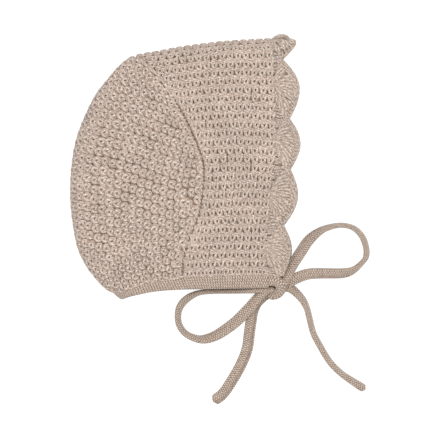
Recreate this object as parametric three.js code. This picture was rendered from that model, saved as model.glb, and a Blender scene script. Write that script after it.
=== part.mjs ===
// A crocheted baby bonnet that lies on its side, folded along the middle of its back and its crown.
// Millimetres, +Z up. X runs from the folded back to the face edge, Y from the neck to the crown,
// and the lower of the two layers lies flat on the plane z = 0.
import * as THREE from 'three';
import { mergeVertices } from 'three/addons/utils/BufferGeometryUtils.js';

// Driving sizes of the bonnet
const bonnetDepth = 126.5; // folded back to face edge
const bonnetHeight = 162; // neck tip to crown
const fullness = 28; // the most that the two layers stand apart, outside to outside
const foldReach = 9.5; // how far in from the outline the rounded fold ends
const crochetWall = 3.6;
const seamGap = 0.55; // clearance where two pieces are worked together
const rowPitch = 5.5; // crochet rows of the front band
const columnPitch = 5; // crochet rows of the back panel, which run up and down
const grooveDepth = 0.7; // valley between two crochet rows

// Driving sizes of the trimmings
const bindingWall = 3.4;
const bindingGap = 0.5; // clearance between the binding and the neck edge
const bindingInset = (crochetWall - bindingWall) / 2;
const bindingRound = 0.6; // softened long edges of the binding
const scallopWall = 3;
const scallopReach = 15.8; // face edge to the tip of a scallop
const scallopNotch = 7.6; // face edge to the notch between two scallops
const crownFlare = 2.3; // lift of the middle scallop above the crown fold
const underPeek = 1.3; // how far the lower layer's scallops show past the upper ones
const knotWidth = 11.6;
const knotHeight = 15.2;
const knotThickness = 11.8;
const tieDiameter = 4.2; // the flat, soft tape as a plain round cord

// Outlines of the folded bonnet, as shares of its depth and of its height
const foldOutline = [
  { depth: 0.252, height: 0.0 },
  { depth: 0.211, height: 0.027 },
  { depth: 0.172, height: 0.043 },
  { depth: 0.121, height: 0.084 },
  { depth: 0.066, height: 0.145 },
  { depth: 0.025, height: 0.233 },
  { depth: 0.0, height: 0.41 },
  { depth: 0.025, height: 0.601 },
  { depth: 0.108, height: 0.762 },
  { depth: 0.181, height: 0.842 },
  { depth: 0.245, height: 0.899 },
  { depth: 0.314, height: 0.934 },
  { depth: 0.422, height: 0.95 },
  { depth: 0.534, height: 0.967 },
  { depth: 0.755, height: 0.989 },
  { depth: 0.98, height: 1.0 },
];
const neckTipIndex = 1; // where the panels end on the fold and the binding begins
const crownCornerIndex = 11; // where the seam crosses the fold

// Seam between the back panel and the front band, from the neck up to the corner of the crown
const seamLine = [
  { depth: 0.549, height: 0.088 },
  { depth: 0.552, height: 0.145 },
  { depth: 0.574, height: 0.215 },
  { depth: 0.618, height: 0.302 },
  { depth: 0.637, height: 0.352 },
  { depth: 0.652, height: 0.45 },
  { depth: 0.645, height: 0.536 },
  { depth: 0.591, height: 0.643 },
  { depth: 0.542, height: 0.719 },
  { depth: 0.451, height: 0.834 },
  { depth: 0.368, height: 0.895 },
  { depth: 0.314, height: 0.934 },
];
const seamSideLow = 4; // the longest crochet row of the back panel reaches the seam here
const seamSideHigh = 6;

const faceEdge = [
  { depth: 0.966, height: 0.094 },
  { depth: 0.951, height: 0.184 },
  { depth: 0.975, height: 0.394 },
  { depth: 1.0, height: 0.586 },
  { depth: 0.998, height: 0.796 },
  { depth: 0.99, height: 0.911 },
  { depth: 0.98, height: 1.0 },
];

// Neck edge of the panels, which is the binding's upper edge, and the binding's lower edge
const neckBack = [
  { depth: 0.211, height: 0.027 },
  { depth: 0.26, height: 0.03 },
  { depth: 0.373, height: 0.066 },
  { depth: 0.485, height: 0.077 },
  { depth: 0.549, height: 0.088 },
];
const neckFront = [
  { depth: 0.549, height: 0.088 },
  { depth: 0.799, height: 0.096 },
  { depth: 0.966, height: 0.094 },
];
const bindingHem = [
  { depth: 0.252, height: 0.0 },
  { depth: 0.328, height: 0.021 },
  { depth: 0.461, height: 0.038 },
  { depth: 0.706, height: 0.044 },
  { depth: 0.966, height: 0.046 },
];
const neckSeamShare = 0.5; // share of the binding's length from its tip to the seam

// How far the two layers stand apart, as shares of the fullness: a row for each share of the height,
// with the folded back, the middle of the back panel, the middle of the band and the face edge
const puffTable = [
  { height: 0.0, back: 0.62, panel: 0.66, band: 0.56, face: 0.38 },
  { height: 0.33, back: 0.9, panel: 1.0, band: 0.88, face: 0.6 },
  { height: 0.67, back: 0.9, panel: 1.0, band: 0.92, face: 0.66 },
  { height: 1.0, back: 0.7, panel: 0.76, band: 0.72, face: 0.6 },
];

const crownDip = 0.38; // share of its reach that the middle scallop loses where it is folded
const crownDipWidth = 0.035; // as a share of the face edge

// Scallops of one side from the chin to the crown: where each ends, as a share of the face edge,
// and its reach as a share of the scallop reach. The last one is folded over the crown.
const scallopTable = [
  { end: 0.212, reach: 1.0 },
  { end: 0.449, reach: 1.06 },
  { end: 0.658, reach: 0.97 },
  { end: 0.906, reach: 0.97 },
  { end: 1.094, reach: 1.0 },
];

const outlineDivisions = 10; // points between two rows of an outline's table

function smoothLine(table) {
  const points = table.map((row) => new THREE.Vector2(row.depth * bonnetDepth, row.height * bonnetHeight));
  return new THREE.SplineCurve(points).getPoints((points.length - 1) * outlineDivisions);
}

function stretch(line, firstRow, lastRow) {
  return line.slice(firstRow * outlineDivisions, lastRow * outlineDivisions + 1);
}

// The point at a share of a line's length
function along(line, share) {
  const lengths = [0];
  for (let index = 1; index < line.length; index += 1) {
    lengths.push(lengths[index - 1] + line[index].distanceTo(line[index - 1]));
  }
  const target = THREE.MathUtils.clamp(share, 0, 1) * lengths[lengths.length - 1];
  let index = 1;
  while (index < line.length - 1 && lengths[index] < target) {
    index += 1;
  }
  const span = lengths[index] - lengths[index - 1];
  return line[index - 1].clone().lerp(line[index], (target - lengths[index - 1]) / span);
}

// A line moved sideways, to the right of its run when the distance is positive
function beside(line, distance) {
  return line.map((point, index) => {
    const before = line[Math.max(index - 1, 0)];
    const after = line[Math.min(index + 1, line.length - 1)];
    const run = after.clone().sub(before).normalize();
    return point.clone().addScaledVector(new THREE.Vector2(run.y, -run.x), distance);
  });
}

// A patch between four lines: across runs from the left line to the right one, up along both
function patch(left, right, bottom, top) {
  return (across, up) => {
    const sides = left(up).multiplyScalar(1 - across).addScaledVector(right(up), across);
    const ends = bottom(across).multiplyScalar(1 - up).addScaledVector(top(across), up);
    const low = bottom(0).multiplyScalar(1 - across).addScaledVector(bottom(1), across);
    const high = top(0).multiplyScalar(1 - across).addScaledVector(top(1), across);
    return sides.add(ends).addScaledVector(low, up - 1).addScaledVector(high, -up);
  };
}

// The folded outline, run on past the face edge under the middle scallop
const fold = smoothLine(foldOutline);
const crownFace = fold[fold.length - 1];
const foldBeyondFace = new THREE.Vector2(crownFace.x + scallopReach + seamGap, crownFace.y + crownFlare);
const wholeFold = [...fold, foldBeyondFace];

function segmentNormal(index) {
  const run = wholeFold[index + 1].clone().sub(wholeFold[index]).normalize();
  return new THREE.Vector2(run.y, -run.x);
}

const foldNormals = wholeFold.map((point, index) => {
  const before = segmentNormal(Math.max(index - 1, 0));
  const after = segmentNormal(Math.min(index, wholeFold.length - 2));
  return before.add(after).normalize();
});

// Distance from the folded outline and the direction away from it
function fromFold(point) {
  let nearest = { distance: Infinity, inward: null };
  for (let index = 0; index < wholeFold.length - 1; index += 1) {
    const run = wholeFold[index + 1].clone().sub(wholeFold[index]);
    const share = point.clone().sub(wholeFold[index]).dot(run) / run.lengthSq();
    const clamped = THREE.MathUtils.clamp(share, 0, 1);
    const distance = wholeFold[index].clone().addScaledVector(run, clamped).distanceTo(point);
    if (distance < nearest.distance) {
      const inward = foldNormals[index].clone().lerp(foldNormals[index + 1], clamped).normalize();
      nearest = { distance, inward };
    }
  }
  return nearest;
}

function smoothShare(share) {
  return share * share * (3 - 2 * share);
}

// How far the two layers stand apart at a point
function layerSpread(point) {
  const names = ['back', 'panel', 'band', 'face'];
  const depthShare = THREE.MathUtils.clamp(point.x / bonnetDepth, 0, 1) * (names.length - 1);
  const column = Math.min(Math.floor(depthShare), names.length - 2);
  const acrossShare = smoothShare(depthShare - column);
  const spread = (row) => THREE.MathUtils.lerp(row[names[column]], row[names[column + 1]], acrossShare);
  const heightShare = THREE.MathUtils.clamp(point.y / bonnetHeight, 0, 1);
  const index = Math.max(puffTable.findIndex((row) => row.height >= heightShare), 1);
  const below = puffTable[index - 1];
  const above = puffTable[index];
  const upShare = smoothShare((heightShare - below.height) / (above.height - below.height));
  return fullness * THREE.MathUtils.lerp(spread(below), spread(above), upShare);
}

// A point of one layer, inset from the outside of the wall: side is 1 on the upper layer, -1 on the
// lower one, and both meet in a rounded fold at the outline
function layerPoint(point, side, inset) {
  const { distance, inward } = fromFold(point);
  const roundness = Math.min(distance / foldReach, 1);
  const half = layerSpread(point) / 2;
  const rise = Math.sqrt(Math.max(1 - (1 - roundness) ** 2, 0));
  const place = point.clone().addScaledVector(inward, inset * (1 - roundness));
  return new THREE.Vector3(place.x, place.y, half + side * (half - inset) * rise);
}

// Shares of a line across the patch that lie evenly on the cloth, from the fold inwards
function evenShares(pointAt, count) {
  const fine = 200;
  const samples = [];
  for (let index = 0; index <= fine; index += 1) {
    samples.push(layerPoint(pointAt(index / fine), 1, 0));
  }
  const lengths = [0];
  for (let index = 1; index <= fine; index += 1) {
    lengths.push(lengths[index - 1] + samples[index].distanceTo(samples[index - 1]));
  }
  const shares = [];
  let index = 1;
  for (let step = 0; step <= count; step += 1) {
    const target = (step / count) * lengths[fine];
    while (index < fine && lengths[index] < target) {
      index += 1;
    }
    shares.push((index - 1 + (target - lengths[index - 1]) / (lengths[index] - lengths[index - 1])) / fine);
  }
  return shares;
}

// Stations across a panel from the end of the lower layer, round the fold, to the end of the upper
// one. The upper layer and the fold have a ridge and a groove for each crochet row. The lower layer
// is smooth, with its stations wider apart as far as the share where a curved edge starts.
function panelStations(pointAt, rows, curvedFrom) {
  const shares = evenShares(pointAt, rows * 2);
  const foldSteps = 4;
  const stations = [];
  for (let step = rows * 2; step > 0; step -= 1) {
    if (step % 2 === 0 || step <= foldSteps || shares[step] > curvedFrom) {
      stations.push({ share: shares[step], side: -1, groove: 0 });
    }
  }
  for (let step = 0; step <= rows * 2; step += 1) {
    stations.push({ share: shares[step], side: 1, groove: step % 2 });
  }
  return stations;
}

// A sheet bent to shape: a subdivided block whose corners are moved to place
function bentSheet(acrossCount, upCount, place) {
  const block = new THREE.BoxGeometry(1, 1, 1, acrossCount, upCount, 1);
  const position = block.getAttribute('position');
  for (let index = 0; index < position.count; index += 1) {
    const across = Math.round((position.getX(index) + 0.5) * acrossCount);
    const up = Math.round((position.getY(index) + 0.5) * upCount);
    const outside = position.getZ(index) > 0;
    const target = place(across, up, outside);
    position.setXYZ(index, target.x, target.y, target.z);
  }
  return closedSolid(block);
}

function signedVolume(geometry) {
  const position = geometry.getAttribute('position');
  const corners = [new THREE.Vector3(), new THREE.Vector3(), new THREE.Vector3()];
  let total = 0;
  for (let start = 0; start < geometry.index.count; start += 3) {
    corners.forEach((corner, step) => {
      corner.fromBufferAttribute(position, geometry.index.getX(start + step));
    });
    total += corners[0].dot(corners[1].clone().cross(corners[2])) / 6;
  }
  return total;
}

// Welds the corners of a closed shape and turns its faces outwards
function closedSolid(geometry) {
  geometry.deleteAttribute('normal');
  geometry.deleteAttribute('uv');
  const solid = mergeVertices(geometry, 1e-4);
  if (signedVolume(solid) < 0) {
    const corners = Array.from(solid.index.array);
    for (let start = 0; start < corners.length; start += 3) {
      [corners[start], corners[start + 1]] = [corners[start + 1], corners[start]];
    }
    solid.setIndex(corners);
  }
  solid.computeVertexNormals();
  return solid;
}

const yarn = { color: 0xc9baa9, roughness: 0.95, metalness: 0 };
const edgingYarn = { color: 0xc6b5a3, roughness: 0.95, metalness: 0 };
const tapeYarn = { color: 0xb8a591, roughness: 0.9, metalness: 0 };

function piece(name, geometry, finish) {
  const mesh = new THREE.Mesh(geometry, new THREE.MeshStandardMaterial({ ...finish }));
  mesh.name = name;
  return mesh;
}

// Lines that the panels share
const seam = smoothLine(seamLine);
const seamOfPanel = beside(seam, -seamGap / 2);
const seamOfBand = beside(seam, seamGap / 2);
const face = smoothLine(faceEdge);
const backFold = stretch(fold, neckTipIndex, crownCornerIndex);
const crownFold = stretch(fold, crownCornerIndex, foldOutline.length - 1);
const neckBackLine = smoothLine(neckBack);
const neckFrontLine = smoothLine(neckFront);

// Back panel: its rows run up and down beside the folded back. The outer ones end at the neck, the
// inner ones at the lower part of the seam, and all of them end at the seam's upper part.
const neckRowShare = 0.75;
const seamLow = stretch(seamOfPanel, 0, seamSideLow);
const seamSide = stretch(seamOfPanel, seamSideLow, seamSideHigh);
const seamHigh = stretch(seamOfPanel, seamSideHigh, seamLine.length - 1).reverse();

const backPatch = patch(
  (up) => along(backFold, up),
  (up) => along(seamSide, up),
  (across) => (across <= neckRowShare
    ? along(neckBackLine, across / neckRowShare)
    : along(seamLow, (across - neckRowShare) / (1 - neckRowShare))),
  (across) => along(seamHigh, across),
);

function backPanel() {
  const widest = along(seamSide, 0.5).x - along(backFold, 0.5).x;
  const rows = Math.round((widest + foldReach) / columnPitch);
  const steps = 13;
  const middleRow = 0.55;
  const stations = panelStations((share) => backPatch(share, middleRow), rows, neckRowShare);
  return bentSheet(stations.length - 1, steps, (across, up, outside) => {
    const station = stations[across];
    const point = backPatch(station.share, up / steps);
    const atEdge = up === 0 || up === steps || across === 0 || across === stations.length - 1;
    const groove = atEdge ? 0 : station.groove * grooveDepth;
    return layerPoint(point, station.side, outside ? groove : crochetWall);
  });
}

// Front band: its rows run from the seam to the face edge, over the crown from side to side
const bandPatch = patch(
  (up) => along(seamOfBand, up),
  (up) => along(face, up),
  (across) => along(neckFrontLine, across),
  (across) => along(crownFold, across),
);

function frontBand() {
  const rows = Math.round((along(face, 1).y - along(face, 0).y + foldReach / 2) / rowPitch);
  const steps = 6;
  const stations = panelStations((share) => bandPatch(0.5, 1 - share), rows, 1);
  return bentSheet(stations.length - 1, steps, (across, up, outside) => {
    const station = stations[across];
    const point = bandPatch(up / steps, 1 - station.share);
    const atEdge = across === 0 || across === stations.length - 1;
    const groove = atEdge ? 0 : station.groove * grooveDepth;
    return layerPoint(point, station.side, outside ? groove : crochetWall);
  });
}

// Scalloped edging along the face edge, nine fans in all with the middle one over the crown fold
function scallopWidth(share) {
  let start = 0;
  for (const row of scallopTable) {
    if (share <= row.end) {
      const swell = Math.sin(Math.PI * ((share - start) / (row.end - start))) ** 0.55;
      const folded = crownDip * Math.exp(-(((1 - share) / crownDipWidth) ** 2));
      return THREE.MathUtils.lerp(scallopNotch, scallopReach * row.reach, swell) * (1 - folded);
    }
    start = row.end;
  }
  return scallopNotch;
}

function scallopTrim() {
  const stepsPerSide = 40;
  const rings = 4;
  const shares = evenShares((share) => along(face, 1 - share), stepsPerSide);
  const stations = [];
  for (let step = stepsPerSide; step > 0; step -= 1) {
    stations.push({ share: 1 - shares[step], side: -1 });
  }
  for (let step = 0; step <= stepsPerSide; step += 1) {
    stations.push({ share: 1 - shares[step], side: 1 });
  }
  const thin = (crochetWall - scallopWall) / 2;
  return bentSheet(stations.length - 1, rings, (across, up, outside) => {
    const station = stations[across];
    const point = along(face, station.share);
    const peek = station.side < 0 ? underPeek * (1 - station.share) : 0;
    const outward = (up / rings) * (scallopWidth(station.share) + peek);
    point.x += seamGap + outward;
    point.y += crownFlare * (outward / scallopReach) * station.share ** 10;
    const inset = outside ? thin * (1 + station.side) : crochetWall - thin * (1 - station.side);
    return layerPoint(point, station.side, inset);
  });
}

// Neck binding: a knitted tape folded over the neck edge, round the folded back from chin to chin
const bindingStations = [
  { across: 0, inset: bindingInset + bindingRound },
  { across: 0.1, inset: bindingInset },
  { across: 0.5, inset: bindingInset },
  { across: 0.9, inset: bindingInset },
  { across: 1, inset: bindingInset + bindingRound },
];

function neckBinding() {
  const hem = smoothLine(bindingHem);
  const upperEdge = (share) => (share <= neckSeamShare
    ? along(neckBackLine, share / neckSeamShare)
    : along(neckFrontLine, (share - neckSeamShare) / (1 - neckSeamShare)));
  const stepsPerSide = 32;
  const shares = evenShares((share) => upperEdge(share), stepsPerSide);
  const stations = [];
  for (let step = stepsPerSide; step > 0; step -= 1) {
    stations.push({ share: shares[step], side: -1 });
  }
  for (let step = 0; step <= stepsPerSide; step += 1) {
    stations.push({ share: shares[step], side: 1 });
  }
  return bentSheet(stations.length - 1, bindingStations.length - 1, (across, up, outside) => {
    const station = stations[across];
    const row = bindingStations[up];
    const top = upperEdge(station.share);
    const bottom = along(hem, station.share);
    const down = bottom.clone().sub(top).normalize();
    top.addScaledVector(down, bindingGap);
    const point = top.lerp(bottom, row.across);
    const flat = station.side < 0 ? 0 : bindingInset;
    const inset = outside ? Math.max(row.inset - bindingInset + flat, 0) : crochetWall - row.inset;
    return layerPoint(point, station.side, inset);
  });
}

// Knot of the bow, where the two ends of the binding are tied at the chin corner
const chin = along(face, 0);
const knotCentre = new THREE.Vector3(
  chin.x + seamGap + knotWidth / 2,
  chin.y - seamGap - knotHeight / 2,
  knotThickness / 2,
);

function bowKnot() {
  const ball = new THREE.SphereGeometry(1, 20, 12);
  const squareness = 0.85;
  const boxy = (value) => Math.sign(value) * Math.abs(value) ** squareness;
  const position = ball.getAttribute('position');
  for (let index = 0; index < position.count; index += 1) {
    position.setXYZ(
      index,
      knotCentre.x + (boxy(position.getX(index)) * knotWidth) / 2,
      knotCentre.y + (boxy(position.getY(index)) * knotHeight) / 2,
      knotCentre.z + (boxy(position.getZ(index)) * knotThickness) / 2,
    );
  }
  return closedSolid(ball);
}

// Ties: limp knitted tape from the knot, laid on the surface. The points are the tape's middle line.
const tieRoutes = {
  tie_loop_right: [
    [134.1, 14.5, 8.4], [138.7, 22.3, 6.4], [142.4, 29.8, 3.8], [147.6, 37.3, 2.3], [154.8, 43.1, 2.2],
    [162.4, 45.8, 2.2], [169.0, 46.3, 2.2], [175.3, 44.5, 2.2], [180.2, 39.7, 2.2], [182.8, 32.9, 2.2],
    [182.9, 27.3, 2.2], [180.9, 23.9, 2.2], [175.3, 18.8, 2.2], [168.6, 16.7, 2.2], [156.2, 16.6, 2.3],
    [147.5, 16.2, 2.7], [141.0, 14.0, 3.9], [135.4, 10.3, 5.2],
  ],
  tie_loop_left: [
    [121.9, 4.2, 7.7], [115.0, 4.2, 7.0], [107.6, 4.1, 5.2], [98.6, 4.2, 3.2], [89.3, 4.4, 2.3],
    [79.7, 4.0, 2.2], [72.5, 1.3, 2.2], [67.9, -3.6, 2.2], [66.4, -9.3, 2.2], [67.3, -15.5, 2.2],
    [71.4, -20.9, 2.2], [78.6, -24.0, 2.2], [84.4, -23.8, 2.2], [91.6, -20.9, 2.3], [101.0, -14.3, 2.6],
    [107.5, -8.6, 4.6], [112.0, -4.0, 5.9], [116.8, 0.6, 4.6], [121.8, 4.0, 2.4],
  ],
  tie_tail_right: [
    [135.2, 5.6, 3.6], [139.0, 3.9, 2.9], [143.6, 0.0, 2.3], [146.4, -5.6, 2.2], [147.7, -10.8, 2.2],
    [150.2, -20.3, 2.2], [154.4, -28.5, 2.2], [160.3, -38.1, 2.2], [167.4, -45.3, 2.2],
    [175.8, -51.1, 2.2], [182.3, -55.2, 2.2],
  ],
  tie_tail_left: [
    [126.2, -1.2, 2.4], [121.2, -3.4, 2.2], [115.6, -8.0, 2.2], [112.4, -13.4, 2.2], [110.6, -20.3, 2.2],
    [109.3, -29.8, 2.2], [105.8, -39.1, 2.2], [99.8, -49.9, 2.2], [93.9, -58.3, 2.2], [88.0, -62.6, 2.2],
  ],
};
const tieStepLength = 6.5;

function tieTape(points) {
  const route = new THREE.CatmullRomCurve3(points.map((point) => new THREE.Vector3(...point)));
  const sides = 8;
  const section = [];
  for (let step = 0; step < sides; step += 1) {
    const angle = ((step + 0.5) / sides) * 2 * Math.PI;
    section.push(new THREE.Vector2(Math.cos(angle), Math.sin(angle)).multiplyScalar(tieDiameter / 2));
  }
  const steps = Math.round(route.getLength() / tieStepLength);
  const shape = new THREE.Shape(section);
  return closedSolid(new THREE.ExtrudeGeometry(shape, { steps, extrudePath: route, bevelEnabled: false }));
}

const bonnet = new THREE.Group();
bonnet.add(piece('back_panel', backPanel(), yarn));
bonnet.add(piece('front_band', frontBand(), yarn));
bonnet.add(piece('scallop_trim', scallopTrim(), edgingYarn));
bonnet.add(piece('neck_binding', neckBinding(), tapeYarn));
bonnet.add(piece('bow_knot', bowKnot(), tapeYarn));

// The origin is on the resting surface, under the middle of the bonnet without its ties
const extent = new THREE.Box3().setFromObject(bonnet);
const middle = extent.getCenter(new THREE.Vector3());
for (const [name, points] of Object.entries(tieRoutes)) {
  bonnet.add(piece(name, tieTape(points), tapeYarn));
}
bonnet.position.set(-middle.x, -middle.y, -extent.min.z);

export default bonnet;
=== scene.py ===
import math

import bpy
import numpy as np
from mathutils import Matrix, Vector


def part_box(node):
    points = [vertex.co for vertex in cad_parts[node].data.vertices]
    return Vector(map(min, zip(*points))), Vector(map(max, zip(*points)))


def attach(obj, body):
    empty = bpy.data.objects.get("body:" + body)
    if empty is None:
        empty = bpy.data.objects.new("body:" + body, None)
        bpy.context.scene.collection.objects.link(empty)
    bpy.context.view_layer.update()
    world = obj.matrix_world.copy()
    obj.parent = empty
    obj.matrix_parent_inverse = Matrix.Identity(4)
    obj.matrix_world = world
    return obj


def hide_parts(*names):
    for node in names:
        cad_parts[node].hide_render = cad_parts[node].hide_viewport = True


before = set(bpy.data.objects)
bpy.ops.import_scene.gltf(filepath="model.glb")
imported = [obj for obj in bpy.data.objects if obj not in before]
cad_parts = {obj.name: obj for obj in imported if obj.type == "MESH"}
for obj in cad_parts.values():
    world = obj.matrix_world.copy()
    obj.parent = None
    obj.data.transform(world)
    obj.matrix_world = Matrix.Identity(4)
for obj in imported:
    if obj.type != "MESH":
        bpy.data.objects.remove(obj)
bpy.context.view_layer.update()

MM = 0.001

# Sizes of the bonnet, the same as the solids have
BONNET_DEPTH = 126.5
BONNET_HEIGHT = 162.0
FULLNESS = 28.0
FOLD_REACH = 9.5
WALL = 3.6
SEAM_GAP = 0.55
SCALLOP_REACH = 15.8
CROWN_FLARE = 2.3
UNDER_PEEK = 1.3
TAPE_WIDTH = 7.0
TAPE_THICK = 3.2
BINDING_LENGTH = 190.0
BINDING_WIDTH = 7.5
KNOT_GIRTH = 17.0
TAPE_FURROW = 0.4
ROLLED_TAPE_FURROW = 1.5

# Sizes of the crochet
BAND_ROW = 5.5
PANEL_ROW = 5.0
BAND_STITCH = 5.0
PANEL_STITCH = 5.9
PANEL_STAGGER = 0.2
BAND_YARN = 1.95
PANEL_YARN = 2.25
YARN_THICK = 1.8
GROUND_INSET = 1.9
YARN_PLIES = 5.0
PLY_LAY = 4.2
TAPE_STITCH = 1.5
STRAND_SIDES = 7
TREBLES = 10
TREBLE_INSET = 1.75
TREBLE_START = -1.2
TREBLE_FEET = 0.07
TREBLE_TIPS = 0.48
SHORT_STITCHES = 6
SHORT_STITCH_SPACING = 0.055
RIM_STITCHES = 168
SEAM_YARN_INSET = 2.0
HALF_STITCH = 2.4
LEAN = math.radians(10)
UNEVENNESS = 0.09
VALLEY_GAP = 0.45

# Outlines in shares of the depth and of the height
FOLD_OUTLINE = [
    (0.252, 0.0), (0.211, 0.027), (0.172, 0.043), (0.121, 0.084), (0.066, 0.145), (0.025, 0.233),
    (0.0, 0.41), (0.025, 0.601), (0.108, 0.762), (0.181, 0.842), (0.245, 0.899), (0.314, 0.934),
    (0.422, 0.95), (0.534, 0.967), (0.755, 0.989), (0.98, 1.0),
]
NECK_TIP, CROWN_CORNER = 1, 11
SEAM_LINE = [
    (0.549, 0.088), (0.552, 0.145), (0.574, 0.215), (0.618, 0.302), (0.637, 0.352), (0.652, 0.45),
    (0.645, 0.536), (0.591, 0.643), (0.542, 0.719), (0.451, 0.834), (0.368, 0.895), (0.314, 0.934),
]
SEAM_SIDE_LOW, SEAM_SIDE_HIGH = 4, 6
FACE_EDGE = [
    (0.966, 0.094), (0.951, 0.184), (0.975, 0.394), (1.0, 0.586), (0.998, 0.796), (0.99, 0.911),
    (0.98, 1.0),
]
NECK_BACK = [(0.211, 0.027), (0.26, 0.03), (0.373, 0.066), (0.485, 0.077), (0.549, 0.088)]
NECK_FRONT = [(0.549, 0.088), (0.799, 0.096), (0.966, 0.094)]
BINDING_HEM = [(0.252, 0.0), (0.328, 0.021), (0.461, 0.038), (0.706, 0.044), (0.966, 0.046)]
NECK_ROW_SHARE = 0.75
NECK_SEAM_SHARE = 0.5

# How far the two layers stand apart: shares of the fullness at four shares of the height, with a
# column each for the folded back, the back panel, the band and the face edge
PUFF_HEIGHTS = np.array([0.0, 0.33, 0.67, 1.0])
PUFF = np.array([
    [0.62, 0.66, 0.56, 0.38],
    [0.9, 1.0, 0.88, 0.6],
    [0.9, 1.0, 0.92, 0.66],
    [0.7, 0.76, 0.72, 0.6],
])

# A half stitch beside the seam, point by point: the share of its length, and millimetres away from the
# seam and into the cloth
HALF_STITCH_PATH = np.array([(0.0, 0.95, 1.5), (0.35, 1.2, 1.1), (0.75, 1.9, 1.15), (1.0, 2.6, 1.7)])

# Scallops of one side, from the chin: where each ends on the face edge, its reach, and the reach left
# in the notch at its end
CHIN_NOTCH = 9.0
SCALLOPS = [
    (0.212, 15.2, 9.5), (0.449, 16.1, 10.1), (0.658, 14.8, 8.2), (0.906, 14.8, 5.1), (1.094, 15.6, 5.1),
]
CROWN_DIP = 0.34
CROWN_DIP_WIDTH = 0.014
CROWN_PUFF = 1.7
CROWN_PUFF_REACH = 10.5

# The photograph's frame in the same plan
PIXEL = 0.62
PHOTO_SIZE = 441
PHOTO_BACK_X = 71.0
PHOTO_NECK_Y = 300.0


# Plan geometry
DIVISIONS = 10


def unit(vectors):
    return vectors / np.maximum(np.linalg.norm(vectors, axis=-1), 1e-9)[..., None]


def spline(points, per_span=8):
    """A smooth path through points of any number of columns."""
    points = np.asarray(points, dtype=float)
    count = len(points) - 1
    steps = np.arange(count * per_span + 1) / per_span
    index = np.floor(steps).astype(int)
    weight = (steps - index)[:, None]
    p0 = points[np.maximum(index - 1, 0)]
    p1 = points[np.minimum(index, count)]
    p2 = points[np.minimum(index + 1, count)]
    p3 = points[np.minimum(index + 2, count)]
    v0, v1 = (p2 - p0) / 2, (p3 - p1) / 2
    return ((2 * p1 - 2 * p2 + v0 + v1) * weight ** 3 + (-3 * p1 + 3 * p2 - 2 * v0 - v1) * weight ** 2
            + v0 * weight + p1)


def smooth_line(table):
    """Points of a smooth curve through a table of shares, in millimetres."""
    return spline(np.array(table) * (BONNET_DEPTH, BONNET_HEIGHT), DIVISIONS)


def stretch(line, first, last):
    return line[first * DIVISIONS:last * DIVISIONS + 1]


def run_lengths(line):
    """The length along a line up to each of its points."""
    return np.concatenate([[0], np.cumsum(np.linalg.norm(np.diff(line, axis=0), axis=1))])


def along(line, share):
    """Points at shares of a line's length."""
    lengths = run_lengths(line)
    target = np.clip(share, 0, 1) * lengths[-1]
    return np.stack([np.interp(target, lengths, line[:, axis]) for axis in range(line.shape[1])], axis=-1)


def beside(line, distance):
    run = unit(np.gradient(line, axis=0))
    return line + np.stack([run[:, 1], -run[:, 0]], axis=1) * distance


def patch(left, right, bottom, top):
    """A patch between four lines, each a function of a share."""
    def place(across, up):
        a, u = across[:, None], up[:, None]
        zero, one = np.zeros_like(across), np.ones_like(across)
        sides = left(up) * (1 - a) + right(up) * a
        ends = bottom(across) * (1 - u) + top(across) * u
        low = bottom(zero) * (1 - a) + bottom(one) * a
        high = top(zero) * (1 - a) + top(one) * a
        return sides + ends - low * (1 - u) - high * u
    return place


fold = smooth_line(FOLD_OUTLINE)
whole_fold = np.vstack([fold, fold[-1] + (SCALLOP_REACH + SEAM_GAP, CROWN_FLARE)])
fold_runs = np.diff(whole_fold, axis=0)
run_normals = unit(np.stack([fold_runs[:, 1], -fold_runs[:, 0]], axis=1))
fold_normals = unit(np.vstack([run_normals[:1], run_normals]) + np.vstack([run_normals, run_normals[-1:]]))

seam = smooth_line(SEAM_LINE)
face = smooth_line(FACE_EDGE)
hem = smooth_line(BINDING_HEM)
neck_back, neck_front = smooth_line(NECK_BACK), smooth_line(NECK_FRONT)
back_fold = stretch(fold, NECK_TIP, CROWN_CORNER)
crown_fold = stretch(fold, CROWN_CORNER, len(FOLD_OUTLINE) - 1)
seam_of_panel, seam_of_band = beside(seam, -SEAM_GAP / 2), beside(seam, SEAM_GAP / 2)
seam_low = stretch(seam_of_panel, 0, SEAM_SIDE_LOW)
seam_side = stretch(seam_of_panel, SEAM_SIDE_LOW, SEAM_SIDE_HIGH)
seam_high = stretch(seam_of_panel, SEAM_SIDE_HIGH, len(SEAM_LINE) - 1)[::-1]


def two_lines(first, second, change):
    """One line made of two, which meet at a share of it."""
    def place(share):
        low = along(first, share / change)
        high = along(second, (share - change) / (1 - change))
        return np.where((share <= change)[:, None], low, high)
    return place


panel_patch = patch(
    lambda up: along(back_fold, up), lambda up: along(seam_side, up),
    two_lines(neck_back, seam_low, NECK_ROW_SHARE), lambda across: along(seam_high, across))
band_patch = patch(
    lambda run: along(neck_front, run), lambda run: along(crown_fold, run),
    lambda up: along(seam_of_band, up), lambda up: along(face, up))
neck_edge = two_lines(neck_back, neck_front, NECK_SEAM_SHARE)


def from_fold(points):
    """Distance of each point from the folded outline, and the direction away from it."""
    offset = points[:, None, :] - whole_fold[None, :-1, :]
    share = np.clip((offset * fold_runs).sum(-1) / (fold_runs ** 2).sum(-1), 0, 1)
    gap = np.linalg.norm(offset - share[..., None] * fold_runs, axis=-1)
    nearest = gap.argmin(axis=1)
    row = np.arange(len(points))
    weight = share[row, nearest][:, None]
    inward = fold_normals[nearest] * (1 - weight) + fold_normals[nearest + 1] * weight
    return gap[row, nearest], unit(inward)


def smooth_share(share):
    return share * share * (3 - 2 * share)


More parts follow.
